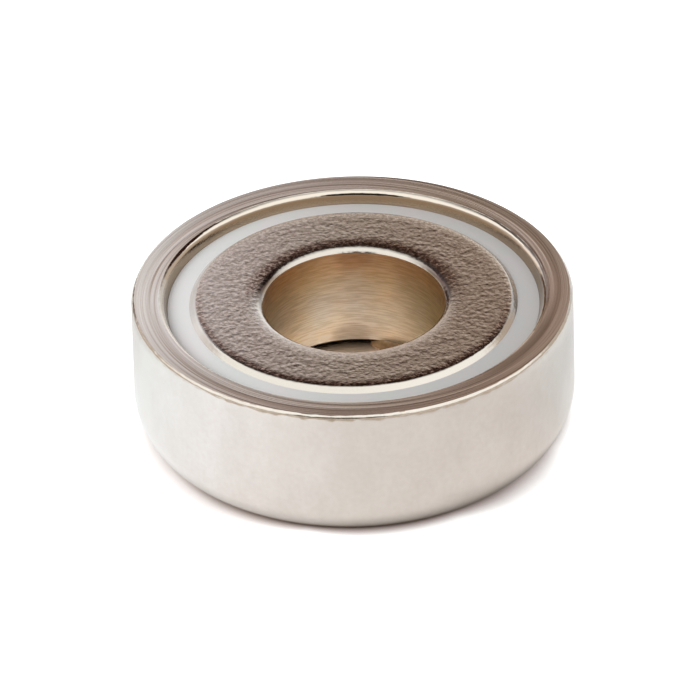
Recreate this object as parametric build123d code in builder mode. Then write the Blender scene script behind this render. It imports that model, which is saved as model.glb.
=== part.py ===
"""Pot magnet: a nickel-plated steel cup that holds a ring magnet, centred in it by a white plastic ring.

Millimetres, +Z up. The origin is the centre of the cup's flat back, where it meets what it is screwed to.
The open end, with the rim that touches the steel it holds, faces +Z. Every piece is turned about Z.
"""

import os

from build123d import *

# The cup, drawn from thick steel sheet and faced on a lathe.
CUP_DIAMETER = 20.0
CUP_HEIGHT = 7.0
WALL_THICKNESS = 1.6
FLOOR_THICKNESS = 1.5
BACK_EDGE_RADIUS = 2.3  # the drawn corner between the back and the outer wall
RIM_EDGE_BREAK = 0.07

# The pocket's mouth, a steep cone with a rounded edge that the magnet and its ring are pushed in past.
LEAD_IN_WIDTH = 0.27
LEAD_IN_DEPTH = 0.6
LEAD_IN_EDGE_RADIUS = 0.35

# The screw hole through the cup's floor, for an M4 screw whose head sinks into the magnet's bore.
SCREW_HOLE_DIAMETER = 4.5
SCREW_HOLE_CHAMFER = 0.3

# The ring magnet, tumbled before plating. Its face rolls off into a slope at both edges.
MAGNET_DIAMETER = 14.9
MAGNET_BORE_DIAMETER = 8.25
MAGNET_BELOW_RIM = 0.2
MAGNET_EDGE_WIDTH = 0.32
MAGNET_EDGE_DEPTH = 0.22
MAGNET_EDGE_ROLL = 0.8  # radius between the face and the slope
MAGNET_FOOT_CHAMFER = 0.35

# The plastic ring. Its top is a shallow cone that falls away from the magnet towards the cup wall.
SPACER_BELOW_RIM_AT_MAGNET = 0.47
SPACER_BELOW_RIM_AT_WALL = 0.6

# Places that follow from the sizes above.
cup_radius = CUP_DIAMETER / 2
pocket_radius = cup_radius - WALL_THICKNESS
hole_radius = SCREW_HOLE_DIAMETER / 2
magnet_radius = MAGNET_DIAMETER / 2
bore_radius = MAGNET_BORE_DIAMETER / 2
magnet_top = CUP_HEIGHT - MAGNET_BELOW_RIM


def corner(section, radius, height):
    """The corner of a half section that lies at this radius and height."""
    return section.vertices().sort_by_distance((radius, height))[0]


os.makedirs("parts", exist_ok=True)

# Cup: one side of its section, revolved. The hole is where the section stops short of the axis.
with BuildPart() as cup:
    with BuildSketch(Plane.XZ) as cup_section:
        with BuildLine():
            Polyline(
                (hole_radius, 0),
                (cup_radius, 0),
                (cup_radius, CUP_HEIGHT),
                (pocket_radius + LEAD_IN_WIDTH, CUP_HEIGHT),
                (pocket_radius, CUP_HEIGHT - LEAD_IN_DEPTH),
                (pocket_radius, FLOOR_THICKNESS),
                (hole_radius, FLOOR_THICKNESS),
                close=True,
            )
        make_face()
        fillet(corner(cup_section, cup_radius, 0), BACK_EDGE_RADIUS)
        chamfer(corner(cup_section, cup_radius, CUP_HEIGHT), RIM_EDGE_BREAK)
        fillet(corner(cup_section, pocket_radius + LEAD_IN_WIDTH, CUP_HEIGHT), LEAD_IN_EDGE_RADIUS)
        chamfer(corner(cup_section, hole_radius, 0), SCREW_HOLE_CHAMFER)
    revolve(axis=Axis.Z)

# Ring magnet: it stands on the cup's floor, with its face sloped off at the bore and at the outside.
with BuildPart() as ring_magnet:
    with BuildSketch(Plane.XZ) as magnet_section:
        with BuildLine():
            Polyline(
                (bore_radius, FLOOR_THICKNESS),
                (magnet_radius, FLOOR_THICKNESS),
                (magnet_radius, magnet_top - MAGNET_EDGE_DEPTH),
                (magnet_radius - MAGNET_EDGE_WIDTH, magnet_top),
                (bore_radius + MAGNET_EDGE_WIDTH, magnet_top),
                (bore_radius, magnet_top - MAGNET_EDGE_DEPTH),
                close=True,
            )
        make_face()
        fillet(magnet_section.vertices().group_by(Axis.Y)[-1], MAGNET_EDGE_ROLL)
        chamfer(magnet_section.vertices().group_by(Axis.Y)[0], MAGNET_FOOT_CHAMFER)
    revolve(axis=Axis.Z)

# Spacer ring: fills the gap between magnet and wall from the floor up to just below the magnet's face.
with BuildPart() as spacer_ring:
    with BuildSketch(Plane.XZ):
        with BuildLine():
            Polyline(
                (magnet_radius, FLOOR_THICKNESS),
                (pocket_radius, FLOOR_THICKNESS),
                (pocket_radius, CUP_HEIGHT - SPACER_BELOW_RIM_AT_WALL),
                (magnet_radius, CUP_HEIGHT - SPACER_BELOW_RIM_AT_MAGNET),
                close=True,
            )
        make_face()
    revolve(axis=Axis.Z)

cup.part.label = "cup"
ring_magnet.part.label = "ring_magnet"
spacer_ring.part.label = "spacer_ring"

export_step(cup.part, "parts/cup.step")
export_step(ring_magnet.part, "parts/ring_magnet.step")
export_step(spacer_ring.part, "parts/spacer_ring.step")
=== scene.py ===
# %% [markdown]
# # A 20 mm pot magnet
#
# A pot magnet is a ring magnet glued into a steel cup, the pot. The cup leads the magnet's
# field round to its own rim, so the small part holds far more than the bare magnet would.
# A white plastic ring fills the gap between the two and keeps the magnet in the middle.
# A screw goes down the magnet's bore and through the hole in the cup's floor.
#
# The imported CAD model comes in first. It is the frame: the dimensions, the names of the
# pieces and the axes come from it, and nothing that follows may leave its box.

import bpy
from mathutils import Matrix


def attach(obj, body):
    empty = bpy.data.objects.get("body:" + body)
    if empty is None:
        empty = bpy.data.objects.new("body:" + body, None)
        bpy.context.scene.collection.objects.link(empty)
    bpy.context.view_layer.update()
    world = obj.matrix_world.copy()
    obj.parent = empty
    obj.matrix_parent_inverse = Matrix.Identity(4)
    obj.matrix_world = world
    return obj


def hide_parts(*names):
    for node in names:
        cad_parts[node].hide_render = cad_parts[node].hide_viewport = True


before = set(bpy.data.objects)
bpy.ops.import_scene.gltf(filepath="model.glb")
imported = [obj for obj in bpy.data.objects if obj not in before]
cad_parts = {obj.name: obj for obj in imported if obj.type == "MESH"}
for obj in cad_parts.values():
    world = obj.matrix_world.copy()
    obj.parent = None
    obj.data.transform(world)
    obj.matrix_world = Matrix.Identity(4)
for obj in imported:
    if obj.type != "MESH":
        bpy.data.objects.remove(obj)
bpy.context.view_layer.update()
print("CAD nodes:", sorted(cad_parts))

# %% [markdown]
# ## Units and selections
#
# The frame is in metres, while a part like this is thought of in millimetres, so every
# length below is written in millimetres and multiplied by `MM` on its way into Blender.
# An operator acts on whatever is selected. The helper here does what a hand does with box
# select: it takes points by their place, as a distance from the Z axis and a height.

# %% Millimetres and selecting by place
import math
from types import SimpleNamespace

import bmesh
import bpy
from mathutils import Matrix, Vector

MM = 0.001


def select_points(piece, wanted):
    """Selects, in edit mode, the points for which wanted(radius, height) in mm is true."""
    bpy.ops.mesh.select_mode(type="VERT")
    mesh = bmesh.from_edit_mesh(piece.data)
    for point in mesh.verts:
        x, y, z = point.co / MM
        point.select = wanted(math.hypot(x, y), z)
    mesh.select_flush_mode()
    bmesh.update_edit_mesh(piece.data)
    return sum(point.select for point in mesh.verts)


def near(radius, height, reach=0.02):
    """A test for select_points: true close to one corner of a section."""
    return lambda r, z: math.hypot(r - radius, z - height) < reach


def edit(piece):
    """Makes one piece the only selected and active one, and opens its mesh for editing."""
    bpy.ops.object.select_all(action="DESELECT")
    bpy.context.view_layer.objects.active = piece
    piece.select_set(True)
    bpy.ops.object.mode_set(mode="EDIT")


print("one millimetre is", MM, "m")

# %% [markdown]
# ## Drawing half a section
#
# The cup, the magnet and the plastic ring are turned shapes, so each is drawn as half of
# its section and spun round the Z axis, as on a lathe. Cutting them out of cylinders with
# booleans would work too, but a section shows every radius and step at once and gives
# clean rings of quads. The section starts from a small plane merged to one point. That
# point is moved to the first corner and extruded from corner to corner, and
# F (`edge_face_add`) closes it, so that its corners can be bevelled and its edges divided.

# %% Draw a section


def draw_section(name, corners):
    """Draws the closed half section of a turned piece, corner by corner, in the XZ plane."""
    bpy.ops.mesh.primitive_plane_add(size=MM, location=(0, 0, 0))
    piece = bpy.context.object
    piece.name = piece.data.name = name
    bpy.ops.object.mode_set(mode="EDIT")
    bpy.ops.mesh.select_all(action="SELECT")
    bpy.ops.mesh.merge(type="CENTER")
    r, z = corners[0]
    bpy.ops.transform.translate(value=(r * MM, 0, z * MM))
    for new_r, new_z in corners[1:]:
        step = ((new_r - r) * MM, 0, (new_z - z) * MM)
        bpy.ops.mesh.extrude_region_move(TRANSFORM_OT_translate={"value": step})
        r, z = new_r, new_z
    bpy.ops.mesh.select_all(action="SELECT")
    bpy.ops.mesh.edge_face_add()
    return piece


def round_corner(piece, radius_at, height_at, size, segments):
    """Rounds one corner of the section, as the bevel tool does on vertices."""
    select_points(piece, near(radius_at, height_at))
    bpy.ops.mesh.bevel(
        offset_type="OFFSET", offset=size * MM, segments=segments, profile=0.5, affect="VERTICES"
    )


def divide_edge(piece, start, end, cuts):
    """Adds points along one straight edge of the section."""
    select_points(piece, lambda r, z: near(*start)(r, z) or near(*end)(r, z))
    bpy.ops.mesh.subdivide(number_cuts=cuts)


print("section tools ready")

# %% [markdown]
# ## Spinning it
#
# Spin turns the outline once round the Z axis. The last ring lands on the first, so the
# doubles are merged and the normals worked out again. Corners that are crisp on the part
# are marked sharp; everything else that bends less than 24 degrees is shaded smooth.

# %% Spin a section
SMOOTH_BELOW = math.radians(24)
SPIN_STEPS, MERGE_WITHIN, CORNER_REACH = 720, 0.001, 0.005


def spin_section(piece, sharp_at=()):
    """Keeps the section's outline, spins it once round the Z axis and marks crisp rings."""
    bpy.ops.mesh.select_all(action="SELECT")
    bpy.ops.mesh.delete(type="ONLY_FACE")
    bpy.ops.mesh.select_all(action="SELECT")
    bpy.ops.mesh.spin(steps=SPIN_STEPS, angle=math.tau, center=(0, 0, 0), axis=(0, 0, 1))
    bpy.ops.mesh.select_all(action="SELECT")
    bpy.ops.mesh.remove_doubles(threshold=MERGE_WITHIN * MM)
    bpy.ops.mesh.normals_make_consistent(inside=False)
    for corner in sharp_at:
        select_points(piece, near(*corner, reach=CORNER_REACH))
        bpy.ops.mesh.mark_sharp()
    mesh = bmesh.from_edit_mesh(piece.data)
    volume = mesh.calc_volume(signed=True) / MM**3
    open_edges = sum(not edge.is_manifold for edge in mesh.edges)
    faces = len(mesh.faces)
    bpy.ops.object.mode_set(mode="OBJECT")
    bpy.ops.object.shade_smooth_by_angle(angle=SMOOTH_BELOW)
    print(f"{piece.name}: {faces} faces, {volume:.1f} mm3, open edges {open_edges}")


print("spin ready")

# %% [markdown]
# ## The camera
#
# The part is seen from about 33 degrees above the table with a long lens, from 600 mm away,
# so its circles are almost true ellipses. The lens follows from the scale of the picture,
# which is given in pixels for each millimetre at the rim. The camera is placed so that
# the middle of the rim falls on a chosen pixel, and it is rolled by a degree and a half.

# %% Place the camera
PICTURE = 700
PIXELS_PER_MM = 22.12
RIM_CENTRE = Vector((0, 0, 7 * MM))
RIM_CENTRE_PIXEL = (351.6, 293.7)
CAMERA_DISTANCE = 600 * MM
ELEVATION = math.radians(33.48)
ROLL = math.radians(-1.5)

look = Vector((0, math.cos(ELEVATION), -math.sin(ELEVATION)))
right = Vector((1, 0, 0))
up = right.cross(look)
off_x = (PICTURE - 1) / 2 - RIM_CENTRE_PIXEL[0]
off_y = (PICTURE - 1) / 2 - RIM_CENTRE_PIXEL[1]
to_right = (off_x * math.cos(ROLL) + off_y * math.sin(ROLL)) / PIXELS_PER_MM * MM
downward = (off_y * math.cos(ROLL) - off_x * math.sin(ROLL)) / PIXELS_PER_MM * MM
turned = Matrix((right, up, -look)).transposed() @ Matrix.Rotation(ROLL, 3, "Z")

stand_at = RIM_CENTRE + right * to_right - up * downward - look * CAMERA_DISTANCE
bpy.ops.object.camera_add(location=stand_at)
camera = bpy.context.object
camera.name = "camera"
camera.rotation_euler = turned.to_euler()
camera.data.sensor_width = 36
camera.data.lens = CAMERA_DISTANCE / MM * PIXELS_PER_MM / PICTURE * camera.data.sensor_width
bpy.context.scene.camera = camera
bpy.context.scene.view_settings.view_transform = "Standard"
print("lens in mm:", round(camera.data.lens, 1))

# %% [markdown]
# ## Small helpers for materials
#
# A procedural material is a chain of nodes. Making each node by hand takes four lines, so
# these helpers make a node, set its inputs and link it up in one. `between` is the one
# used most: it turns a distance or an angle into a mask that runs from 0 to 1. A socket
# knows which tree it is in (`id_data`), so most helpers needn't be told the tree. The scale
# of a noise is in cells for each metre: 1000 gives clouds a millimetre wide.

# %% Node helpers


def add_node(tree, kind, inputs=None, **settings):
    """Adds one node. An input is a value, an output socket, or a node for its first output."""
    node = tree.nodes.new("ShaderNode" + kind)
    for name, value in settings.items():
        setattr(node, name, value)
    for name, value in (inputs or {}).items():
        if isinstance(value, bpy.types.Node):
            value = value.outputs[0]
        if isinstance(value, bpy.types.NodeSocket):
            tree.links.new(value, node.inputs[name])
        else:
            node.inputs[name].default_value = value
    return node


def tree_of(*values):
    """The node tree of the first output socket among these values."""
    return next(value.id_data for value in values if isinstance(value, bpy.types.NodeSocket))


def calc(operation, first, second=0.0, third=0.0):
    """One step of arithmetic: returns the output socket of a Math node."""
    tree = tree_of(first, second, third)
    return add_node(tree, "Math", {0: first, 1: second, 2: third}, operation=operation).outputs[0]


def times(first, second):
    """One value multiplied by another."""
    return calc("MULTIPLY", first, second)


def squares(first, second):
    """The sum of two squares."""
    return calc("ADD", calc("POWER", first, 2.0), calc("POWER", second, 2.0))


def ramp(factor, stops):
    """A colour ramp. Its stops are (position, grey) or (position, red, green, blue)."""
    node = add_node(tree_of(factor), "ValToRGB", {"Fac": factor})
    elements = node.color_ramp.elements
    while len(elements) < len(stops):
        elements.new(0.5)
    for element, (position, *tone) in zip(elements, stops):
        element.position = position
        element.color = (*(tone * 3)[:3], 1)
    return node.outputs["Color"]


def between(value, low, high, to_low=0.0, to_high=1.0, smooth=False):
    """Maps low..high to to_low..to_high, held at both ends."""
    return add_node(
        tree_of(value), "MapRange", {0: value, 1: low, 2: high, 3: to_low, 4: to_high},
        interpolation_type="SMOOTHSTEP" if smooth else "LINEAR",
    ).outputs[0]


def grey(value):
    """A grey colour from one value."""
    return add_node(tree_of(value), "CombineColor", {0: value, 1: value, 2: value}).outputs[0]


def blend(factor, first, second, how="MIX"):
    """Mixes two colours, each a colour or a socket."""
    tree = tree_of(factor, first, second)
    node = add_node(tree, "Mix", data_type="RGBA", blend_type=how)
    for socket, value in zip((node.inputs[0], node.inputs[6], node.inputs[7]), (factor, first, second)):
        if isinstance(value, bpy.types.NodeSocket):
            tree.links.new(value, socket)
        elif isinstance(value, tuple):
            socket.default_value = (*value, 1)
        else:
            socket.default_value = value
    return node.outputs[2]


def tinted(first, second):
    """One colour multiplied by another, as a filter does."""
    return blend(1.0, first, second, how="MULTIPLY")


def choose(share, otherwise, chosen):
    """Mixes two shaders: the second where share is 1, the first where it is 0."""
    return add_node(tree_of(share), "MixShader", {0: share, 1: otherwise, 2: chosen})


def noise(at, scale, detail=2.0, roughness=0.5, stretch=None):
    """Cloudy noise, after the place has been squeezed or stretched along each axis."""
    if stretch:
        at = add_node(tree_of(at), "Mapping", {"Vector": at, "Scale": stretch}).outputs[0]
    inputs = {"Vector": at, "Scale": scale, "Detail": detail, "Roughness": roughness}
    return add_node(tree_of(at), "TexNoise", inputs).outputs["Fac"]


print("node helpers ready")

# %% [markdown]
# ## Where on the part?
#
# Turned marks, worn edges and stains all sit at a certain radius, height or angle. So a
# material asks where it is on the part, with Object coordinates, which stay with the piece
# when it moves. The angle is 0 at the front and grows towards the right-hand side.

# %% Places on the part


def object_place(tree, axis_x=0.0):
    """Object coordinates, with the distance from an upright axis and the angle round it."""
    at = add_node(tree, "TexCoord").outputs["Object"]
    x, y, z = add_node(tree, "SeparateXYZ", {"Vector": at}).outputs
    across = calc("SUBTRACT", x, axis_x)
    radius = calc("SQRT", squares(across, y))
    angle = calc("ARCTAN2", across, times(y, -1.0))
    return SimpleNamespace(at=at, x=x, y=y, z=z, radius=radius, angle=angle)


def by_turn(place, stops):
    """A ramp round the part: its stops are given at degrees in place of positions."""
    whole_turn = between(place.angle, -math.pi, math.pi)
    return ramp(whole_turn, [((180 + turn) / 360, *tone) for turn, *tone in stops])


def mask(value, low, high, at_low=0.0, at_high=1.0, smooth=False):
    """The same as between, for a place on the part: low and high are in mm."""
    return between(value, low * MM, high * MM, at_low, at_high, smooth)


def band(value, rise_from, rise_to, fall_from, fall_to):
    """A mask that is 1 between two soft edges, given in mm."""
    fall = mask(value, fall_from, fall_to, 1.0, 0.0)
    return times(mask(value, rise_from, rise_to), fall)


def spot(place, turn, radius, height, wide, high):
    """One small soft spot: 1 at its middle, 0 outside. Degrees and millimetres."""
    turn = math.radians(turn)
    across = calc("SUBTRACT", place.x, radius * MM * math.sin(turn))
    along = calc("ADD", place.y, radius * MM * math.cos(turn))
    flat = calc("DIVIDE", squares(across, along), (wide * MM) ** 2)
    upright = calc("DIVIDE", calc("SUBTRACT", place.z, height * MM), high * MM)
    far = calc("ADD", flat, calc("POWER", upright, 2.0))
    return between(far, 0.1, 1.0, 1.0, 0.0, smooth=True)


def new_material(name, **constants):
    """A material whose Principled shader has these constant values on its own sockets."""
    material = bpy.data.materials.new(name)
    material.use_nodes = True
    shader = material.node_tree.nodes["Principled BSDF"]
    for socket, value in constants.items():
        shader.inputs[socket.replace("_", " ")].default_value = value
    return material, material.node_tree, shader


def add_relief(shader, height, depth, strength=1.0):
    """Lets a value bump the surface, as if it stood up by this depth in metres."""
    inputs = {"Height": height, "Strength": strength, "Distance": depth}
    bump = add_node(shader.id_data, "Bump", inputs)
    shader.id_data.links.new(bump.outputs[0], shader.inputs["Normal"])


def coat(piece, material):
    """Gives a piece a material, after any that it has already."""
    piece.data.materials.append(material)
    print(material.name, "on", piece.name + ":", len(material.node_tree.nodes), "nodes")


def empty_tree(owner):
    """Opens the node tree of a material or a world with nothing in it yet."""
    owner.use_nodes = True
    owner.node_tree.nodes.clear()
    return owner.node_tree


def mirrored_rays(tree):
    """1 for rays that come from a mirror-like or a clear surface, else 0."""
    rays = add_node(tree, "LightPath").outputs
    return calc("MAXIMUM", rays["Is Glossy Ray"], rays["Is Transmission Ray"])


def camera_rays(tree):
    """1 for rays that come straight from the camera, else 0."""
    return add_node(tree, "LightPath").outputs["Is Camera Ray"]


print("place helpers ready")

# %% [markdown]
# ## The table
#
# Bright metal has hardly any colour of its own: it shows the room. So what stands round the
# part matters more than the lamp. The table is a pale sheet of paper, a plain big plane.
# Its node tree gives three answers. The camera sees nearly white paper with the part's
# shadow close round its foot. The metal sees the tones of a whole working table, light on
# the left and darker in front and on the right, which is what gives the cup's wall its
# shape. Everything else sees plain paper, so the soft light stays plain too.
#
# Real paper fades to white over a distance. Here a glow that only the camera sees adds the
# white. It starts at the shadow's edge, which lies further out on the left than in front,
# so both of its radii are given round the part as (degrees, mm). Inside that edge the shadow
# is partly painted: the glow is tinted warm where it is weak, and close under the foot the
# paper's own colour is darkened and warmed.

# %% Table
SHADOW_STARTS = [
    (-90, 9.3), (-75, 8.9), (-60, 8.6), (-45, 8.6), (-30, 8.5), (0, 8.45), (30, 8.45), (60, 8.4),
    (75, 8.7), (90, 9.2), (150, 9.4),
]
SHADOW_ENDS = [
    (-90, 10.2), (-75, 10.3), (-60, 10.4), (-45, 10.3), (-30, 9.6), (-15, 8.95), (0, 9.2), (30, 9.15),
    (45, 9.9), (60, 10.0), (75, 9.6), (90, 9.9), (150, 10.4),
]
LONGEST = 20
WARM_SHADE, WHITE = (1.0, 0.84, 0.81), (1.0, 1.0, 1.0)
PAPER_GRAIN, PAPER_DARK, PAPER_LIGHT, ADDED_WHITE = 900.0, 0.84, 0.87, 0.75
FOOT_SHADE_RADII, PAINTED_FOOT_SHADE = (8.2, 9.3), (0.62, 0.51, 0.47)
NOISE_SPREAD, WARM_PART = (0.3, 0.7), (0.1, 0.6)
TABLE_SIZE, TABLE_DROP = 2.0, 0.01

bpy.ops.mesh.primitive_plane_add(size=TABLE_SIZE, location=(0, 0, -TABLE_DROP * MM))
table = bpy.context.object
table.name = "table"


def radii_round(place, radii):
    """A radius in metres that changes with the angle; a ramp only holds values up to 1."""
    shares = by_turn(place, [(turn, radius / LONGEST) for turn, radius in radii])
    return times(shares, LONGEST * MM)


paper = bpy.data.materials.new("white_table_paper")
tree = empty_tree(paper)
place = object_place(tree)
grain = noise(place.at, PAPER_GRAIN, detail=3.0)
paper_grey = grey(between(grain, *NOISE_SPREAD, PAPER_DARK, PAPER_LIGHT))
# Painted shadow: close under the foot the paper's colour is darkened and warmed.
painted_shade_under_foot = mask(place.radius, *FOOT_SHADE_RADII, 1.0, 0.0, smooth=True)
paper_with_painted_shade = blend(painted_shade_under_foot, paper_grey, PAINTED_FOOT_SHADE)
paper_lit = add_node(tree, "BsdfDiffuse", {"Color": paper_with_painted_shade})

starts = radii_round(place, SHADOW_STARTS)
ends = radii_round(place, SHADOW_ENDS)
fade = between(place.radius, starts, ends, 0.0, ADDED_WHITE)
# Painted shade: the glow is tinted warm where it is weak.
fade_tint = blend(between(fade, *WARM_PART), WARM_SHADE, WHITE)
for_camera = add_node(tree, "Emission", {"Color": fade_tint, "Strength": fade})
print("table", [round(side, 2) for side in table.dimensions], "m")

# %% [markdown]
# ### What the metal sees of the table
#
# The tones run once round the part, from the back through the left-hand side, the front
# and the right-hand side. Close to the foot the table lies in the part's own shade. On the
# right a strip close to the part catches some more light, and the paper that shows through
# the screw hole is lit.

# %% Table in the metal
TABLE_TONES = [
    (-180, 0.5, 0.48, 0.46), (-150, 0.4, 0.38, 0.36), (-127, 0.14), (-113, 0.24, 0.26, 0.28),
    (-102, 0.35, 0.41, 0.44), (-85, 0.43, 0.48, 0.53), (-60, 0.47, 0.49, 0.55), (-41, 0.41, 0.4, 0.43),
    (0, 0.25, 0.22, 0.21), (20, 0.22, 0.18, 0.17), (45, 0.17, 0.13, 0.12), (65, 0.2, 0.16, 0.15),
    (95, 0.3, 0.31, 0.32), (130, 0.3, 0.31, 0.32), (155, 0.45, 0.43, 0.41), (180, 0.5, 0.48, 0.46),
]
OWN_SHADE = (8.8, 10.6)
STRIP_SIDE, STRIP_RADII, STRIP_LIGHT = (6, 10), (10.8, 16), 0.3
HOLE_EDGE, HOLE_LIGHT, HOLE_COLOUR = (2.3, 2.6), 1.3, (1.0, 0.88, 0.76, 1.0)

clear_of_foot = mask(place.radius, *OWN_SHADE, smooth=True)
round_tones = by_turn(place, TABLE_TONES)
tones = add_node(tree, "Emission", {"Color": round_tones, "Strength": clear_of_foot})
close_by = mask(place.radius, *STRIP_RADII, STRIP_LIGHT, 0.0)
strip = times(mask(place.x, *STRIP_SIDE), close_by)
strip = add_node(tree, "Emission", {"Strength": times(strip, clear_of_foot)})
in_hole = mask(place.radius, *HOLE_EDGE, HOLE_LIGHT, 0.0)
in_hole = add_node(tree, "Emission", {"Color": HOLE_COLOUR, "Strength": in_hole})
for_metal = add_node(tree, "AddShader", {0: tones, 1: strip})
for_metal = add_node(tree, "AddShader", {0: for_metal, 1: in_hole})

nothing = add_node(tree, "Emission", {"Strength": 0.0})
extra = choose(mirrored_rays(tree), nothing, for_metal)
extra = choose(camera_rays(tree), extra, for_camera)
answer = add_node(tree, "AddShader", {0: paper_lit, 1: extra})
add_node(tree, "OutputMaterial", {"Surface": answer})
paper.cycles.emission_sampling = "NONE"
coat(table, paper)

# %% [markdown]
# ## A white card behind the part
#
# A maker who lights small metal parts sets cards round them, to put a soft patch of light
# where it is wanted. This one leans over the back of the part and only shows in the metal:
# it lights up the left half of the turned rim. The camera and the shadows pass it by.

# %% White card
CARD_DISTANCE, CARD_SIZE = 30 * MM, 80 * MM
CARD_TINT = (0.96, 0.96, 1.0, 1.0)
LIT_HALF = 20
LIT_ACROSS = [
    (0.0, 0.6), (0.15, 0.62), (0.27, 0.55), (0.33, 0.36), (0.4, 0.22), (0.46, 0.1), (0.52, 0.02),
    (0.58, 0.0), (1.0, 0.0),
]
LIT_UPWARD = [(0.0, 0.0), (0.27, 0.0), (0.35, 1.0), (0.52, 1.0), (0.62, 0.5), (0.75, 0.15), (0.9, 0.0)]
towards_back = Vector((0, math.cos(ELEVATION), math.sin(ELEVATION)))

bpy.ops.mesh.primitive_plane_add(
    size=CARD_SIZE,
    location=RIM_CENTRE + CARD_DISTANCE * towards_back,
    rotation=(math.radians(90) + ELEVATION, 0, 0),
)
card = bpy.context.object
card.name = "white_card"
card.visible_camera = card.visible_diffuse = card.visible_shadow = False

veil = bpy.data.materials.new("card_veil")
tree = empty_tree(veil)
place = object_place(tree)
across = ramp(mask(place.x, -LIT_HALF, LIT_HALF), LIT_ACROSS)
upward = ramp(mask(place.y, -LIT_HALF, LIT_HALF), LIT_UPWARD)
in_metal = add_node(tree, "LightPath").outputs["Is Glossy Ray"]
amount = times(times(across, upward), in_metal)
glow = add_node(tree, "Emission", {"Color": CARD_TINT, "Strength": amount})
both = add_node(tree, "AddShader", {0: glow, 1: add_node(tree, "BsdfTransparent")})
add_node(tree, "OutputMaterial", {"Surface": both})
veil.cycles.emission_sampling = "NONE"
coat(card, veil)

# %% [markdown]
# ## The room in front and overhead
#
# The world holds the rest of what the metal mirrors. Two numbers say where a mirrored ray
# goes: `swing` is the angle in degrees over the part, from 0 at the front horizon through
# 90 straight up to 180 at the back horizon, and `side` runs from -1 at the left to 1 at the
# right. In front lies a dim warm room with a bright diffuser above it. A dark round shape
# low in that diffuser is the camera's own lens.

# %% Room in front
BRIGHT_DIFFUSER = (1.45, 1.43, 1.38)
LOW_ROOM = (0.69, 0.58, 0.48)
LENS_COLOUR = (0.03, 0.025, 0.02)
LENS_SIDE, LENS_WIDE = -0.1, 0.4
LENS_SWING, LENS_TALL = 36.0, 17.0
LENS_EDGE = (0.8, 1.2)
DIFFUSER_FROM, FULL_ASIDE = (0.42, 0.54), (0.4, 0.6)
FAR_EDGE, FAR_EDGE_GREY = (80.0, 112.0), 0.4

world = bpy.data.worlds.new("studio")
bpy.context.scene.world = world
tree = empty_tree(world)
world.cycles.sampling_method = "NONE"
direction = add_node(tree, "TexCoord").outputs["Generated"]
side, forward, height = add_node(tree, "SeparateXYZ", {"Vector": direction}).outputs
aside = calc("ABSOLUTE", side)
swing = calc("ARCTAN2", height, times(forward, -1.0))
swing = times(swing, 180 / math.pi)

overhead = between(height, *DIFFUSER_FROM, smooth=True)
far_edge = between(swing, *FAR_EDGE, 1.0, FAR_EDGE_GREY, smooth=True)
far_edge = calc("MAXIMUM", far_edge, between(aside, *FULL_ASIDE))
diffuser = tinted(BRIGHT_DIFFUSER, grey(far_edge))
front = blend(overhead, LOW_ROOM, diffuser)
lens_x = calc("DIVIDE", calc("SUBTRACT", side, LENS_SIDE), LENS_WIDE)
lens_up = calc("DIVIDE", calc("SUBTRACT", swing, LENS_SWING), LENS_TALL)
in_lens = between(squares(lens_x, lens_up), *LENS_EDGE, 1.0, 0.0)
front = blend(in_lens, front, LENS_COLOUR)
print("front of the room:", len(tree.nodes), "nodes")

# %% [markdown]
# ## The room behind
#
# Behind the diffuser comes a dark slot, the gap up to the backdrop. A flat top face that is
# seen from the front mirrors the backdrop, and where its edges begin to bend over they
# mirror the slot: that is the dark line along the magnet's edges. The slot is narrower at
# both sides of the room. Where it ends, the backdrop fades in over 13 to 20 degrees. The
# backdrop is darkest at the left and warmer low down.

# %% Room behind
DARK_SLOT = (0.035, 0.014, 0.008)
SLOT_FROM, SLOT_FROM_ASIDE, SLOT_TO = 112.0, 134.0, 139.5
SLOT_LEFT, SLOT_RIGHT, START_FADE = (-0.7, -0.56), (0.64, 0.78), 5.0
END_FADE_LEFT, END_FADE_RIGHT, END_FADE_SIDE = 20.0, 13.0, (-0.12, 0.0)
GAIN_AT_RIGHT, GAIN_FAR_RIGHT = 1.2, 0.8
GAIN_RISE, GAIN_FALL, NOT_RIGHT, LOW_DOWN = (0.06, 0.16), (0.32, 0.45), (0.03, 0.16), (154.0, 170.0)
HALF_LIT, HALF_LIT_TINT, LOW_TINT = (0.45, 1.0), (1.0, 0.87, 0.78), (0.88, 0.8, 0.72)
STRAIGHT_BEHIND, BACKDROP_HALF = (0.66, 0.76), 0.5
BACKDROP_TONES = [
    (0.0, 0.1, 0.05, 0.03), (0.12, 0.15, 0.09, 0.06), (0.2, 0.34, 0.26, 0.21), (0.27, 0.86, 0.8, 0.75),
    (0.35, 0.94, 0.88, 0.84), (0.42, 0.9, 0.83, 0.8), (0.5, 0.92, 0.85, 0.83), (0.56, 0.92, 0.86, 0.84),
    (0.63, 1.0), (1.0, 1.0),
]

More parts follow.
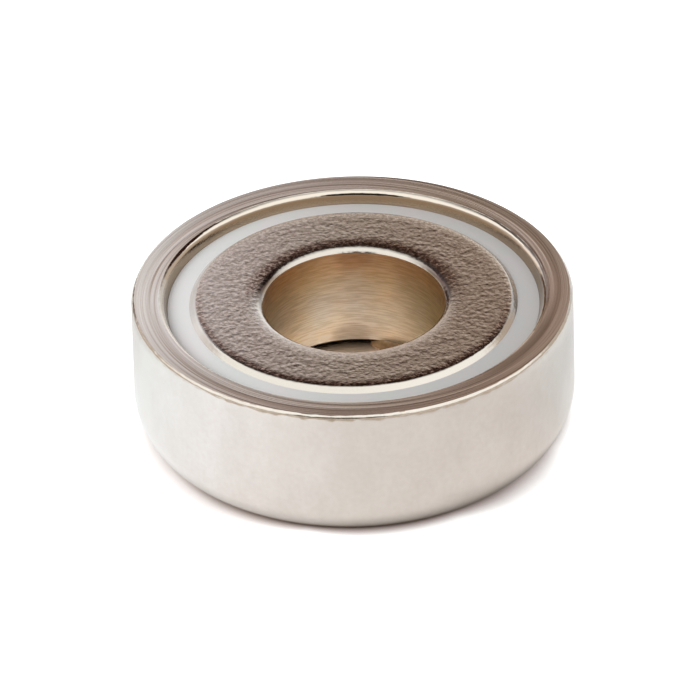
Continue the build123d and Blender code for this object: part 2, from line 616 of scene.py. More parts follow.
left_end = between(side, *SLOT_LEFT, SLOT_FROM_ASIDE, SLOT_FROM, smooth=True)
right_end = between(side, *SLOT_RIGHT, 0.0, SLOT_FROM_ASIDE - SLOT_FROM, smooth=True)
slot_from = calc("ADD", left_end, right_end)
backdrop = ramp(between(side, -BACKDROP_HALF, BACKDROP_HALF), BACKDROP_TONES)
rise = between(side, *GAIN_RISE, 1.0, GAIN_AT_RIGHT, smooth=True)
fall = between(side, *GAIN_FALL, GAIN_AT_RIGHT, GAIN_FAR_RIGHT)
backdrop = tinted(backdrop, grey(calc("MINIMUM", rise, fall)))
low_down = times(between(swing, *LOW_DOWN), between(side, *NOT_RIGHT, 1.0, 0.0))
backdrop = blend(low_down, backdrop, tinted(backdrop, LOW_TINT))
end_fade = between(side, *END_FADE_SIDE, END_FADE_LEFT, END_FADE_RIGHT, smooth=True)
lit_part = between(swing, SLOT_TO, calc("ADD", end_fade, SLOT_TO))
back = blend(lit_part, DARK_SLOT, backdrop)
back = tinted(back, blend(between(lit_part, *HALF_LIT), HALF_LIT_TINT, WHITE))

past_diffuser = between(swing, slot_from, calc("ADD", slot_from, START_FADE))
straight_behind = between(forward, *STRAIGHT_BEHIND, smooth=True)
is_back = times(past_diffuser, calc("MAXIMUM", overhead, straight_behind))
room = blend(is_back, front, back)
print("slot from", SLOT_FROM, "to", SLOT_TO, "degrees")

# %% [markdown]
# ## Plain light for everything else
#
# The camera sees a white background. Matt surfaces get an even, plain light from all
# around. Only mirrored rays see the room that was drawn above.

# %% World
PLAIN_LIGHT = 0.5

room_light = add_node(tree, "Background", {"Color": (*WHITE, 1.0), "Strength": PLAIN_LIGHT})
room_mirrored = add_node(tree, "Background", {"Color": room, "Strength": 1.0})
room_white = add_node(tree, "Background", {"Color": (*WHITE, 1.0), "Strength": 1.0})
seen = choose(mirrored_rays(tree), room_light, room_mirrored)
seen = choose(camera_rays(tree), seen, room_white)
add_node(tree, "OutputWorld", {"Surface": seen})
print("world:", len(tree.nodes), "nodes")

# %% [markdown]
# ## One soft lamp
#
# A large soft lamp above and to the left gives the shadow on the table its direction. It
# is hidden from the metal, whose highlights come from the diffuser in the world.

# %% Soft lamp
LAMP_PLACE = Vector((-0.38, -0.15, 0.38))
LAMP_WIDE, LAMP_TALL, LAMP_WATTS = 0.45, 0.35, 2.2

bpy.ops.object.light_add(type="AREA", location=LAMP_PLACE)
lamp = bpy.context.object
lamp.name = "soft_lamp"
lamp.data.shape = "RECTANGLE"
lamp.data.size = LAMP_WIDE
lamp.data.size_y = LAMP_TALL
lamp.data.energy = LAMP_WATTS
lamp.rotation_euler = (-LAMP_PLACE).to_track_quat("-Z", "Y").to_euler()
lamp.visible_camera = False
lamp.visible_glossy = False
print("lamp at", [round(value, 2) for value in lamp.location], "m")

# %% [markdown]
# ## The cup
#
# The real cup is drawn from sheet steel or turned from bar, and nickel plated. Its back edge
# has a large soft round. Its rim is faced off on a lathe after the mouth was rounded, which
# leaves a crisp edge between the flat and the round; the flat falls by 0.02 mm towards it.
# From the round a cone leads down into the pocket, so that the magnet slips in easily. The
# outer edge is only broken.
#
# A cylinder with bevels could come close, but the two ends of the mouth's round need exact
# slopes: it starts at a small angle to the flat rim and runs out into the cone. So this
# round and the broken edge are worked out as arcs, from slope to slope in degrees.

# %% Cup sizes
CUP_RADIUS, CUP_HEIGHT = 10.0, 7.0
POCKET_RADIUS, FLOOR = 8.42, 1.5
HOLE_RADIUS, HOLE_CHAMFER = 2.25, 0.3
BACK_ROUND, RIM_INNER = 2.3, (8.8, 6.98)
MOUTH_ROUND, MOUTH_SLOPES, MOUTH_STEPS = 0.34, (13, 70), 16
EDGE_ROUND, EDGE_SLOPES, EDGE_STEPS = 0.2, (17, 90), 8


def arc(start, size, slopes, steps, outward):
    """A round from one corner through a range of slopes, as (radius, height) corners."""
    first = math.radians(slopes[0])
    corners = []
    for step in range(steps + 1):
        slope = math.radians(slopes[0] + (slopes[1] - slopes[0]) * step / steps)
        aside = size * (math.sin(slope) - math.sin(first))
        down = size * (math.cos(first) - math.cos(slope))
        corners.append((start[0] + outward * aside, start[1] - down))
    return corners


edge_inset = EDGE_ROUND * (1 - math.sin(math.radians(EDGE_SLOPES[0])))
mouth = arc(RIM_INNER, MOUTH_ROUND, MOUTH_SLOPES, MOUTH_STEPS, outward=-1)
crown = arc((CUP_RADIUS - edge_inset, CUP_HEIGHT), EDGE_ROUND, EDGE_SLOPES, EDGE_STEPS, outward=1)
print("mouth ends at", [round(value, 3) for value in mouth[-1]], "mm")

# %% [markdown]
# The cone's foot follows from its slope. Each long straight edge is divided, so that the
# spun faces stay short and shade evenly.

# %% Cup
steepness = math.tan(math.radians(MOUTH_SLOPES[1]))
cone_foot = mouth[-1][1] - (mouth[-1][0] - POCKET_RADIUS) * steepness
cup = draw_section("cup_turned", [
    (HOLE_RADIUS + HOLE_CHAMFER, 0), (CUP_RADIUS, 0), *reversed(crown), *mouth,
    (POCKET_RADIUS, cone_foot), (POCKET_RADIUS, FLOOR),
    (HOLE_RADIUS, FLOOR), (HOLE_RADIUS, HOLE_CHAMFER),
])
round_corner(cup, CUP_RADIUS, 0, BACK_ROUND, segments=20)
divide_edge(cup, (CUP_RADIUS, BACK_ROUND), crown[-1], cuts=12)
divide_edge(cup, crown[0], RIM_INNER, cuts=20)
divide_edge(cup, mouth[-1], (POCKET_RADIUS, cone_foot), cuts=4)
spin_section(cup, sharp_at=[RIM_INNER, crown[0]])

# %% [markdown]
# ### Wear on its edges
#
# A magnet jumps onto steel, so the outer edge of a used cup has small dents. Dents can be
# painted into a bump, but then the edge's outline stays perfect. Here a Displace modifier
# with a cloud texture really moves the points of the edge inwards, by up to 0.035 mm. Its
# vertex group says where: fully on the outer edge, a little on the edge of the mouth.

# %% Worn edges
DENT_SIZE, DENT_DEPTH = 0.42, 0.035
OUTER_FROM, OUTER_ABOVE = 9.88, 6.84
MOUTH_WITHIN, MOUTH_ABOVE, MOUTH_SHARE = 8.795, 6.7, 0.35


def group_points(piece, name, parts):
    """A vertex group from (test of radius and height in mm, weight) parts."""
    group = piece.vertex_groups.new(name=name)
    for wanted, weight in parts:
        points = [v.index for v in piece.data.vertices if wanted(v.co.xy.length / MM, v.co.z / MM)]
        group.add(points, weight, "REPLACE")
        print(name, "has", len(points), "points at weight", weight)
    return group


def displace(piece, name, group, size, depth, mid_level, direction="NORMAL"):
    """Moves the points of a vertex group by a cloud texture, and applies it."""
    clouds = bpy.data.textures.new(name, type="CLOUDS")
    clouds.noise_scale = size * MM
    clouds.noise_depth = 2
    modifier = piece.modifiers.new(name, "DISPLACE")
    modifier.texture = clouds
    modifier.texture_coords = "LOCAL"
    modifier.direction = direction
    modifier.vertex_group = group.name
    modifier.strength = depth * MM
    modifier.mid_level = mid_level
    bpy.ops.object.modifier_apply(modifier=name)


outer_edge = group_points(cup, "outer_edge", [
    (lambda r, z: z > OUTER_ABOVE and r > OUTER_FROM, 1.0),
    (lambda r, z: z > MOUTH_ABOVE and r < MOUTH_WITHIN, MOUTH_SHARE),
])
displace(cup, "dents", outer_edge, DENT_SIZE, DENT_DEPTH, mid_level=1.0)
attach(cup, "root")
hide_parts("cup")

# %% [markdown]
# ## The ring magnet
#
# The magnet is pressed from powder and sintered, tumbled with stones until its edges are
# soft, and nickel plated. Tumbling wears an edge most at the corner itself and ever less
# towards the flat, so its round isn't a plain arc: it starts almost level, gets steeper and
# ends in a crisp corner. A bevel can't do that, so both edges are drawn corner by corner.
# The top face lies 0.2 mm below the cup's rim, so that it never touches what it holds.

# %% Ring magnet
MAGNET_RADIUS, BORE_RADIUS, MAGNET_TOP = 7.44, 4.13, 6.8
OUTER_FOOT = [(4.5, FLOOR), (7.0, FLOOR), (MAGNET_RADIUS, 1.9)]
BORE_FOOT = [(BORE_RADIUS, 1.85), (4.3, 1.62)]
OUTER_ROLL = [
    (MAGNET_RADIUS, 6.5), (7.438, 6.531), (7.4, 6.568), (7.35, 6.616), (7.3, 6.664), (7.26, 6.701),
    (7.22, 6.733), (7.19, 6.752), (7.15, 6.7645), (7.1, 6.775), (7.03, 6.784), (6.95, 6.791),
    (6.85, 6.796), (6.7, MAGNET_TOP),
]
BORE_ROLL = [
    (5.1, MAGNET_TOP), (4.9, 6.794), (4.75, 6.787), (4.6, 6.7745), (4.5, 6.762), (4.42, 6.7465),
    (4.37, 6.7345), (4.34, 6.7255), (4.28, 6.696), (4.22, 6.653), (4.17, 6.602), (BORE_RADIUS, 6.549),
]
magnet = draw_section("magnet_plated", [*OUTER_FOOT, *OUTER_ROLL, *BORE_ROLL, *BORE_FOOT])
divide_edge(magnet, OUTER_ROLL[-1], BORE_ROLL[0], cuts=38)
spin_section(magnet, sharp_at=[OUTER_ROLL[1], BORE_ROLL[-1]])

# %% [markdown]
# ### Its bore and its pressed face
#
# A bore in a pressed magnet is never quite in the middle. It is moved by 0.03 mm, in six
# small steps that each take a smaller circle, so that no step shows in the face. Then a
# second Displace modifier gives the top the fine lumps of pressed powder.

# %% Bore and pressed face
BORE_OFF_CENTRE, BORE_STEPS, FIRST_CIRCLE, NEXT_SMALLER = 0.03, 6, 6.5, 0.3
LUMP_SIZE, LUMP_DEPTH, LUMPS_ABOVE = 0.23, 0.018, 6.595

edit(magnet)
for step in range(BORE_STEPS):
    circle = FIRST_CIRCLE - NEXT_SMALLER * step
    select_points(magnet, lambda r, z: r < circle)
    bpy.ops.transform.translate(value=(BORE_OFF_CENTRE / BORE_STEPS * MM, 0, 0))
bpy.ops.object.mode_set(mode="OBJECT")
pressed_face = group_points(magnet, "pressed_face", [(lambda r, z: z > LUMPS_ABOVE, 1.0)])
displace(magnet, "lumps", pressed_face, LUMP_SIZE, LUMP_DEPTH, mid_level=0.9, direction="Z")
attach(magnet, "root")
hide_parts("ring_magnet")
print("magnet top at", round(max(v.co.z for v in magnet.data.vertices) / MM, 4), "mm")

# %% [markdown]
# ## The white ring
#
# The plastic ring is moulded and pressed into the gap between the cup and the magnet. Its
# top is a shallow cone, higher at the magnet, and its thin lip ends on the magnet's worn
# edge, so that no gap is left between the two. Five corners are enough for its section.

# %% White ring
RING_INNER, RING_INNER_TOP, RING_OUTER_TOP = 7.445, 6.44, 6.41
RING_LIP = (7.434, 6.535)

ring = draw_section("white_ring", [
    (RING_INNER, FLOOR), (POCKET_RADIUS, FLOOR), (POCKET_RADIUS, RING_OUTER_TOP), RING_LIP,
    (RING_INNER, RING_INNER_TOP),
])
divide_edge(ring, (POCKET_RADIUS, RING_OUTER_TOP), RING_LIP, cuts=6)
spin_section(ring)
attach(ring, "root")
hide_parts("spacer_ring")

# %% [markdown]
# ## A bead of adhesive
#
# The magnet is glued to the cup's floor, and some of the glue has squeezed out into the
# bore. Half of a flattened sphere is enough for it: the sphere is cut at the floor, moved
# out to the bore's wall and turned to its place round the axis. It sits on the floor and
# reaches a little under the magnet's chamfered foot, as the real bead does.

# %% Adhesive bead
BEAD_TURN, BEAD_LONG, BEAD_WIDE, BEAD_HIGH = 144, 3.8, 0.5, 0.5
BEAD_FROM_WALL, BEAD_SMOOTH_BELOW = 0.2, math.radians(40)

bpy.ops.mesh.primitive_uv_sphere_add(segments=48, ring_count=24, radius=0.5 * MM, location=(0, 0, 0))
bead = bpy.context.object
bead.name = bead.data.name = "adhesive_bead"
bpy.ops.object.mode_set(mode="EDIT")
bpy.ops.mesh.select_all(action="SELECT")
bpy.ops.transform.resize(value=(BEAD_LONG, BEAD_WIDE, 2 * BEAD_HIGH))
bpy.ops.mesh.bisect(
    plane_co=(0, 0, 0), plane_no=(0, 0, 1), clear_inner=True, use_fill=True, threshold=1e-8
)
bpy.ops.mesh.select_all(action="SELECT")
bpy.ops.transform.translate(value=(0, -(BORE_RADIUS - BEAD_FROM_WALL) * MM, FLOOR * MM))
bpy.ops.transform.rotate(value=math.radians(-BEAD_TURN), orient_axis="Z", center_override=(0, 0, 0))
bpy.ops.object.mode_set(mode="OBJECT")
bpy.ops.object.shade_smooth_by_angle(angle=BEAD_SMOOTH_BELOW)
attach(bead, "root")
print("bead:", [round(size / MM, 2) for size in bead.dimensions], "mm")

# %% [markdown]
# ## Drawn and plated steel
#
# The cup's wall is satin: thin nickel over a tumbled surface, with wide faint blotches and
# a fine grain. Inside the mouth the same nickel is burnished by the tool, and its colour is
# browner towards the pocket. One material does both, with a mask by radius, because the
# plating is one coat.

# %% Satin nickel
SATIN_DARK, SATIN_LIGHT = (0.645, 0.603, 0.55), (0.682, 0.643, 0.592)
GRAIN_TONES = [(0.36, 0.975), (0.64, 1.01, 1.02, 1.03)]
FLOOR_NICKEL, FLOOR_ROUGH = (1.0, 0.82, 0.66), 0.5
BLOTCHES, GRAIN, BLOTCH_STRETCH = 520.0, 4200.0, (1.0, 1.0, 0.6)
INSIDE, FLOOR_EDGE, CONE_HEIGHTS = (9.2, 9.3), (7.0, 8.0), (6.4, 6.9)
WALL_ROUGH, MOUTH_ROUGH, MOUTH_HEIGHTS = (0.17, 0.26), (0.22, 0.1), (6.6, 6.8)
SKIN_DEPTH = 0.0035 * MM
CONE_TONES = [
    (0.0, 0.42, 0.33, 0.25), (0.3, 0.36, 0.28, 0.205), (0.7, 0.36, 0.28, 0.205),
    (0.8, 0.45, 0.38, 0.31), (0.92, 0.66, 0.605, 0.54),
]

satin_nickel, tree, shader = new_material("satin_nickel", Metallic=1.0)
place = object_place(tree)
blotches = noise(place.at, BLOTCHES, detail=3.0, roughness=0.6, stretch=BLOTCH_STRETCH)
fine = noise(place.at, GRAIN)
satin = ramp(blotches, [(0.35, *SATIN_DARK), (0.65, *SATIN_LIGHT)])
satin = tinted(satin, ramp(fine, GRAIN_TONES))
inside = mask(place.radius, *INSIDE, 1.0, 0.0)
on_floor = mask(place.radius, *FLOOR_EDGE, 1.0, 0.0)
cone = ramp(mask(place.z, *CONE_HEIGHTS), CONE_TONES)
burnished = blend(on_floor, cone, FLOOR_NICKEL)
tree.links.new(blend(inside, satin, burnished), shader.inputs["Base Color"])

rough_wall = between(fine, *NOISE_SPREAD, *WALL_ROUGH)
rough_mouth = mask(place.z, *MOUTH_HEIGHTS, *MOUTH_ROUGH)
rough_inside = add_node(tree, "Mix", {0: on_floor, 2: rough_mouth, 3: FLOOR_ROUGH})
roughness = add_node(tree, "Mix", {0: inside, 2: rough_wall, 3: rough_inside})
tree.links.new(roughness.outputs[0], shader.inputs["Roughness"])
add_relief(shader, calc("ADD", blotches, fine), SKIN_DEPTH, strength=0.6)
coat(cup, satin_nickel)

# %% [markdown]
# ## The turned rim
#
# The rim was faced on a lathe, and its tool left one long spiral groove. Plain rings of
# noise would give closed circles and look machine made. Here the radius is wound up by the
# angle, so that a streak that leaves a ring on one side comes back on the next one. The
# noise is four-dimensional: the winding gives two of its axes, as a cosine and a sine, so
# it has no seam, and the point's own X and Y give the other two, so that the streaks fade
# in and out along their way.

# %% Marks of the facing tool
GROOVE_PITCH, GROOVE_DEPTH = 1.6, 0.006 * MM
WIDE_MARKS, NARROW_MARKS = (1.3, 14), (4.2, 9)
WIDE_DEPTH, WIDE_SHARE = 3.0, 0.6
STREAK_TONES = [(0.36, 0.36, 0.28, 0.22), (0.46, 0.58, 0.51, 0.46), (0.6, 0.76, 0.71, 0.67)]

turned_nickel, tree, shader = new_material(
    "turned_nickel", Metallic=1.0, Roughness=0.22, Anisotropic=0.5, Anisotropic_Rotation=0.25
)
place = object_place(tree)
around = add_node(tree, "Tangent", direction_type="RADIAL", axis="Z")
tree.links.new(around.outputs[0], shader.inputs["Tangent"])
wound_up = times(place.angle, GROOVE_PITCH * MM / math.tau)
unwound = calc("SUBTRACT", place.radius, wound_up)
phase = times(unwound, math.tau / (GROOVE_PITCH * MM))


def tool_marks(fineness, length):
    """Noise that is fine across the tool's path and long along it, with no seam."""
    winding = add_node(tree, "CombineXYZ", {
        0: times(calc("COSINE", phase), fineness),
        1: times(calc("SINE", phase), fineness),
        2: times(place.x, 1 / (length * MM)),
    })
    fourth = times(place.y, 1 / (length * MM))
    inputs = {"Vector": winding, "W": fourth, "Scale": 1.0, "Detail": 2.0}
    return add_node(tree, "TexNoise", inputs, noise_dimensions="4D").outputs["Fac"]


wide_marks, narrow_marks = tool_marks(*WIDE_MARKS), tool_marks(*NARROW_MARKS)
grooves = calc("ADD", times(wide_marks, WIDE_DEPTH), narrow_marks)
add_relief(shader, grooves, GROOVE_DEPTH)
streaks = calc("ADD", times(wide_marks, WIDE_SHARE), times(narrow_marks, 1 - WIDE_SHARE))
streaked = ramp(streaks, STREAK_TONES)
print("tool marks:", len(tree.nodes), "nodes")

# %% [markdown]
# The rim also has a painted light and shade that changes round the part: lighter on the
# left, darker in front and on the right, and not in the same way on its inner and outer half,
# because facing left the two at slightly different angles. The turned nickel is given only
# to the faces of the flat rim.

# %% Tone of the rim
HALVES_MEET = (9.25, 9.45)
RIM_FROM, RIM_ABOVE = 8.795, 6.979
INNER_HALF_PAINTED_LIGHT = [
    (-180, 0.95, 0.93, 0.91), (-120, 1.0, 1.05, 1.08), (-90, 1.08, 1.2, 1.28), (-60, 0.95, 1.0, 1.05),
    (-30, 0.85, 0.87, 0.87), (0, 0.8, 0.78, 0.74), (25, 0.7, 0.63, 0.58), (45, 0.55, 0.47, 0.41),
    (70, 0.55, 0.47, 0.41), (90, 0.86, 0.78, 0.72), (115, 1.05, 1.0, 0.96), (150, 0.92, 0.87, 0.78),
    (180, 0.95, 0.93, 0.91),
]
OUTER_HALF_PAINTED_LIGHT = [
    (-180, 1.0), (-120, 1.02, 1.14, 1.2), (-90, 1.0, 1.08, 1.12), (-60, 0.92, 0.98, 1.02),
    (-30, 0.75, 0.72, 0.7), (-5, 0.58, 0.52, 0.48), (15, 0.66, 0.58, 0.53), (35, 0.79, 0.71, 0.65),
    (60, 0.86, 0.8, 0.71), (90, 0.88, 0.81, 0.75), (120, 0.8, 0.76, 0.68), (150, 1.1, 1.1, 1.05),
    (180, 1.0),
]

outer_half = mask(place.radius, *HALVES_MEET)
# Painted light and shade round the rim, one for each half.
tone = blend(outer_half, by_turn(place, INNER_HALF_PAINTED_LIGHT), by_turn(place, OUTER_HALF_PAINTED_LIGHT))
tree.links.new(tinted(streaked, tone), shader.inputs["Base Color"])
coat(cup, turned_nickel)


def give_second_material(piece, wanted):
    """Gives the piece's second material to the faces between the wanted points."""
    edit(piece)
    points = select_points(piece, wanted)
    piece.active_material_index = 1
    bpy.ops.object.material_slot_assign()
    bpy.ops.object.mode_set(mode="OBJECT")
    print(piece.data.materials[1].name, "between", points, "points")


give_second_material(cup, lambda r, z: z > RIM_ABOVE and r > RIM_FROM)

# %% [markdown]
# ## Plated and sintered
#
# The magnet's face is nickel over pressed powder: a fine grit with darker pits. The grit is
# coarser near both edges, where the powder flowed less in the die. Dark reddish dirt sits in
# its pits behind the bore and along the front of the outer edge, and in front of the bore
# the face is rubbed pale. The very edges have been tumbled smooth and bright.

# %% Sintered nickel
PIT_DARK, PIT_LIGHT = (0.42, 0.375, 0.325), (0.62, 0.58, 0.535)
DIRT_DARK, DIRT_LIGHT = (0.42, 0.28, 0.24), (0.92, 0.8, 0.75)
WORN_NICKEL = (0.6272, 0.5936, 0.5488)
FACE_HALF = 6.5
PAINTED_SHADE_LEFT_TO_RIGHT = [(0.0, 0.92, 0.92, 0.97), (0.5, 0.92, 0.89, 0.85), (1.0, 0.87, 0.79, 0.71)]
DIRT_AT_BORE = [(-130, 1.0), (-105, 0.8), (-85, 0.0), (85, 0.0), (105, 0.8), (130, 1.0)]
RUBBED_AT_BORE = [
    (-105, 0.0), (-85, 0.9), (-60, 1.0), (-30, 0.6), (0, 0.55), (30, 0.6), (60, 0.9), (85, 0.6),
    (105, 0.0),
]
RUBBED_NICKEL, RUBBED_RADII, RUBBED_SHARE = (0.64, 0.615, 0.6), (4.4, 4.95), 0.55
DIRT_OUTSIDE = [(-110, 0.0), (-80, 0.6), (-45, 1.0), (45, 1.0), (80, 0.8), (110, 0.0)]
NEAR_BORE, NEAR_OUTSIDE = (4.4, 4.46, 4.75, 5.1), (6.75, 6.95, 7.12, 7.17)
GRIT, PITS = 8000.0, 5600.0
POCKET_OFF_CENTRE = 0.05

sintered_nickel, tree, shader = new_material("sintered_nickel", Roughness=0.17)
bore_axis = (POCKET_OFF_CENTRE + BORE_OFF_CENTRE / BORE_STEPS) * MM
place = object_place(tree, bore_axis)
grit = noise(place.at, GRIT, detail=3.0, roughness=0.65)
pits = noise(place.at, PITS)
speckled = ramp(pits, [(0.36, *PIT_DARK), (0.62, *PIT_LIGHT)])
# Painted shade: the face's colour grows darker and warmer from left to right.
speckled = tinted(speckled, ramp(mask(place.x, -FACE_HALF, FACE_HALF), PAINTED_SHADE_LEFT_TO_RIGHT))
near_bore = band(place.radius, *NEAR_BORE)
near_outside = band(place.radius, *NEAR_OUTSIDE)
dirt = times(near_bore, by_turn(place, DIRT_AT_BORE))
dirt_outside = times(near_outside, by_turn(place, DIRT_OUTSIDE))
dirty = tinted(speckled, ramp(pits, [(0.42, *DIRT_DARK), (0.6, *DIRT_LIGHT)]))
speckled = blend(calc("MAXIMUM", dirt, dirt_outside), speckled, dirty)
rubbed = mask(place.radius, *RUBBED_RADII, RUBBED_SHARE, 0.0, smooth=True)
rubbed = times(rubbed, by_turn(place, RUBBED_AT_BORE))
speckled = blend(rubbed, speckled, RUBBED_NICKEL)
print("sintered face:", len(tree.nodes), "nodes")

# %% [markdown]
# The worn edges have hardly any grit, but a tone that changes round the part, which is
# painted light and shade: lighter in some places and darker in others, with a painted dark
# shade at the sides of the bore. On the left, and faintly on the right, the outer edge gets a
# pale grey colour and is less of a metal there. Down in the gap at the foot the magnet's
# colour is darkened into a painted shade.

# %% Worn edges of the magnet
BORE_EDGE_PAINTED_LIGHT = [
    (-180, 0.93), (-150, 0.92), (-130, 0.9), (-110, 0.85), (-90, 1.0), (60, 1.0), (90, 0.95),
    (110, 0.8), (130, 0.9), (150, 0.93), (180, 0.93),
]
PAINTED_SHADE_AT_BORE = [
    (-142, 0.0), (-126, 0.6), (-112, 1.0), (-98, 0.7), (-84, 0.0), (80, 0.0), (94, 0.8), (110, 1.0),
    (126, 0.8), (145, 0.0),
]
PAINTED_SHADE_BAND, PAINTED_SHADE_COLOUR = (4.14, 4.21, 4.38, 4.5), (0.13, 0.095, 0.085)
OUTER_EDGE_PAINTED_LIGHT = [(-180, 0.9), (0, 0.95), (30, 1.0), (60, 0.95), (90, 0.82), (120, 0.9), (180, 0.9)]
WORN_AT_BORE, WORN_OUTSIDE = (4.36, 4.42), (7.12, 7.2)
GAP_TOP, GAP_PAINTED_SHADE = (1.8, 1.86), 0.08
PALE_EDGE_ROUND = [
    (-135, 0.0), (-115, 0.7), (-95, 0.9), (-72, 0.85), (-50, 0.0), (70, 0.0), (90, 0.35), (115, 0.0),
]
PALE_EDGE_COLOUR = (0.7, 0.67, 0.65)
GRIT_DEPTH, GRIT_LEFT_WORN = 0.007 * MM, 0.25

worn_bore = mask(place.radius, *WORN_AT_BORE, 1.0, 0.0)
worn_outside = mask(place.radius, *WORN_OUTSIDE)
worn = calc("MAXIMUM", worn_bore, worn_outside)
# Painted light and shade: the worn edges' tone changes round the part.
outer_edge_painted_light = by_turn(place, OUTER_EDGE_PAINTED_LIGHT)
edge_painted_light = blend(worn_bore, outer_edge_painted_light, by_turn(place, BORE_EDGE_PAINTED_LIGHT))
coloured = blend(worn, speckled, tinted(WORN_NICKEL, edge_painted_light))
# Painted shade: a dark band on the bore's edge at its sides.
painted_bore_shade = by_turn(place, PAINTED_SHADE_AT_BORE)
painted_bore_shade = times(band(place.radius, *PAINTED_SHADE_BAND), painted_bore_shade)
coloured = blend(painted_bore_shade, coloured, PAINTED_SHADE_COLOUR)
# The outer edge gets a pale grey colour on the left, and faintly on the right, and is less of a metal
# there.
pale_edge = times(worn_outside, by_turn(place, PALE_EDGE_ROUND))
coloured = blend(pale_edge, coloured, PALE_EDGE_COLOUR)
tree.links.new(calc("SUBTRACT", 1.0, pale_edge), shader.inputs["Metallic"])
# Painted shade: the colour down in the gap at the foot is darkened.
painted_gap_shade = mask(place.z, *GAP_TOP, GAP_PAINTED_SHADE, 1.0)
tree.links.new(tinted(coloured, grey(painted_gap_shade)), shader.inputs["Base Color"])

coarser = calc("MAXIMUM", near_bore, near_outside)
grit_depth = calc("MULTIPLY_ADD", coarser, GRIT_DEPTH, GRIT_DEPTH)
grit_depth = times(grit_depth, between(worn, 0.0, 1.0, 1.0, GRIT_LEFT_WORN))
add_relief(shader, calc("ADD", grit, pits), grit_depth)
coat(magnet, sintered_nickel)

# %% [markdown]
# ## The wall of the bore
#
# The bore is ground, so fine rings run round its wall. The same bump noise as on the face
# would look sandy; noise that is stretched twelvefold along X and Y makes long rings. The
# nickel in the bore is brownish, and darker and browner towards the top as painted shade;
# painted light changes its tone round the bore. A darker patch low on the back wall is a
# painted reflection of the screw hole.

# %% Ground bore
RINGS, RING_STRETCH, RING_DEPTH = 17000.0, (0.08, 0.08, 1.0), 0.007 * MM
OLD_BATH, BORE_HEIGHTS = 480.0, (1.8, MAGNET_TOP)
HOLE_REFLECTION_PLACE, STAIN_PLACE = (181, BORE_RADIUS, 2.15, 1.1, 0.75), (178, BORE_RADIUS, 6.3, 1.0, 0.8)
BORE_WITHIN, BORE_BELOW = BORE_RADIUS + 0.04, 6.56
BORE_BROWN_AND_PAINTED_SHADE = [
    (0.0, 1.0), (0.08, 1.0), (0.24, 0.76, 0.76, 0.72), (0.44, 0.62, 0.59, 0.54),
    (0.64, 0.555, 0.49, 0.39), (0.84, 0.51, 0.36, 0.24), (1.0, 0.46, 0.3, 0.19),
]
BORE_PAINTED_LIGHT_ROUND = [
    (-180, 0.92, 0.94, 0.98), (-155, 1.07, 1.1, 1.1), (-135, 1.22, 1.12, 1.0), (-110, 1.2, 1.12, 1.05),
    (0, 1.1, 1.1, 1.0), (110, 1.2, 1.1, 0.85), (140, 1.07, 1.0, 0.85), (165, 0.9, 0.9, 0.88),
    (180, 0.92, 0.94, 0.98),
]
BATH_COOL, BATH_WARM = (0.97, 0.99, 1.02), (1.06, 1.0, 0.9)
PAINTED_HOLE_REFLECTION, STAIN_COLOUR = (0.48, 0.42, 0.33), (0.3, 0.17, 0.09)

ground_nickel, tree, shader = new_material(
    "ground_nickel", Metallic=1.0, Roughness=0.42, Anisotropic=0.75, Anisotropic_Rotation=0.25
)
place = object_place(tree)
around = add_node(tree, "Tangent", direction_type="RADIAL", axis="Z")
tree.links.new(around.outputs[0], shader.inputs["Tangent"])
rings = noise(place.at, RINGS, stretch=RING_STRETCH)
old_bath = noise(place.at, OLD_BATH)
# Painted shade up the wall, and painted light round the bore.
tone = ramp(mask(place.z, *BORE_HEIGHTS), BORE_BROWN_AND_PAINTED_SHADE)
tone = tinted(tone, by_turn(place, BORE_PAINTED_LIGHT_ROUND))
tone = tinted(tone, ramp(old_bath, [(0.38, *BATH_COOL), (0.62, *BATH_WARM)]))
# The first spot is a painted reflection of the screw hole.
for where, colour in ((HOLE_REFLECTION_PLACE, PAINTED_HOLE_REFLECTION), (STAIN_PLACE, STAIN_COLOUR)):
    half = times(spot(place, *where), 0.5)
    tone = blend(half, tone, colour)
scratches = ramp(rings, [(0.38, 0.8, 0.78, 0.74), (0.62, 1.02)])
tree.links.new(tinted(tone, scratches), shader.inputs["Base Color"])
add_relief(shader, rings, RING_DEPTH)
coat(magnet, ground_nickel)
give_second_material(magnet, lambda r, z: r < BORE_WITHIN and z < BORE_BELOW)

# %% [markdown]
# ## White plastic
#
# The ring is moulded in a white plastic with a faint cool cloudiness. It isn't metal, so
# it takes the plain light and hardly mirrors the room. Its right-hand side lies deeper in
# the part's own shade, which the plain light is too even to show, so its tone falls off
# from left to right.

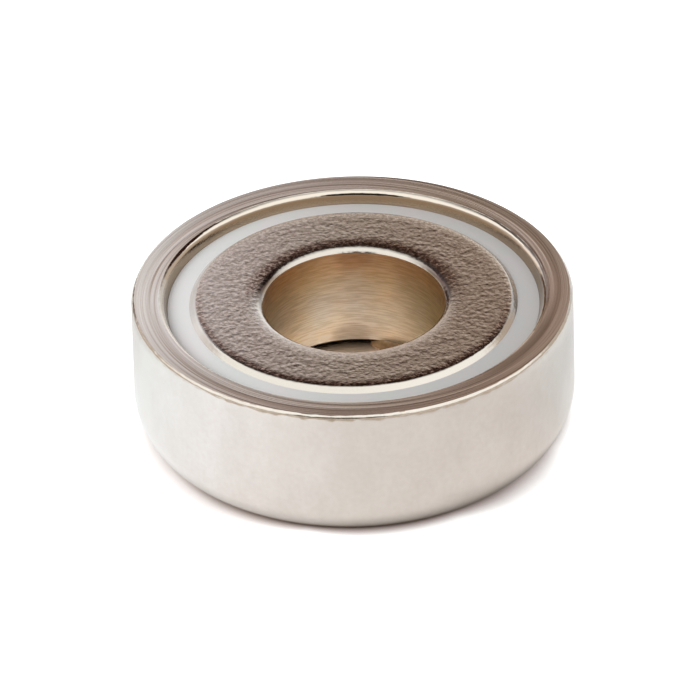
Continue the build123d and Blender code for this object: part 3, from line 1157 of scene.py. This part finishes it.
# %% White plastic
PLASTIC_TONES = [
    (0.0, 0.8), (0.25, 0.72, 0.72, 0.71), (0.5, 0.62, 0.61, 0.6), (0.75, 0.59, 0.58, 0.57),
    (1.0, 0.57, 0.56, 0.55),
]
CLOUDS, CLOUD_COOL, CLOUD_WARM = 700.0, (0.96, 0.98, 0.975), (1.0, 0.975, 0.985)
CLOUD_DEPTH, RING_HALF = 0.01 * MM, 8.5

white_plastic, tree, shader = new_material("white_plastic", Roughness=0.4)
place = object_place(tree)
clouds = noise(place.at, CLOUDS)
tone = ramp(mask(place.x, -RING_HALF, RING_HALF), PLASTIC_TONES)
mottling = ramp(clouds, [(0.35, *CLOUD_COOL), (0.65, *CLOUD_WARM)])
tree.links.new(tinted(tone, mottling), shader.inputs["Base Color"])
add_relief(shader, clouds, CLOUD_DEPTH, strength=0.5)
coat(ring, white_plastic)

# %% [markdown]
# ## Hardened adhesive
#
# The glue has set to a brown, cloudy resin with a slight gloss.

# %% Hardened adhesive
RESIN, RESIN_DARK, RESIN_LIGHT = 2500.0, (0.22, 0.13, 0.06), (0.4, 0.26, 0.14)

hardened_adhesive, tree, shader = new_material("hardened_adhesive", Roughness=0.3)
place = object_place(tree)
resin = ramp(noise(place.at, RESIN), [(0.35, *RESIN_DARK), (0.65, *RESIN_LIGHT)])
tree.links.new(resin, shader.inputs["Base Color"])
coat(bead, hardened_adhesive)

# %% [markdown]
# ## Set the pocket off centre
#
# On the real part the pocket, with the magnet and its ring, isn't quite in the middle of
# the cup: the rim is a little narrower on the right. The points inside the rim are moved
# together, by 0.05 mm, so that the pieces keep their fit. The floor and the screw hole stay.

# %% Set the pocket off centre
MOVED_WITHIN, MOVED_ABOVE = 8.9, 1.6

for piece in (cup, magnet, ring):
    edit(piece)
    lowest = MOVED_ABOVE if piece is cup else 0
    moved = select_points(piece, lambda r, z: r < MOVED_WITHIN and z > lowest)
    bpy.ops.transform.translate(value=(POCKET_OFF_CENTRE * MM, 0, 0))
    bpy.ops.object.mode_set(mode="OBJECT")
    print(piece.name, moved, "points moved")
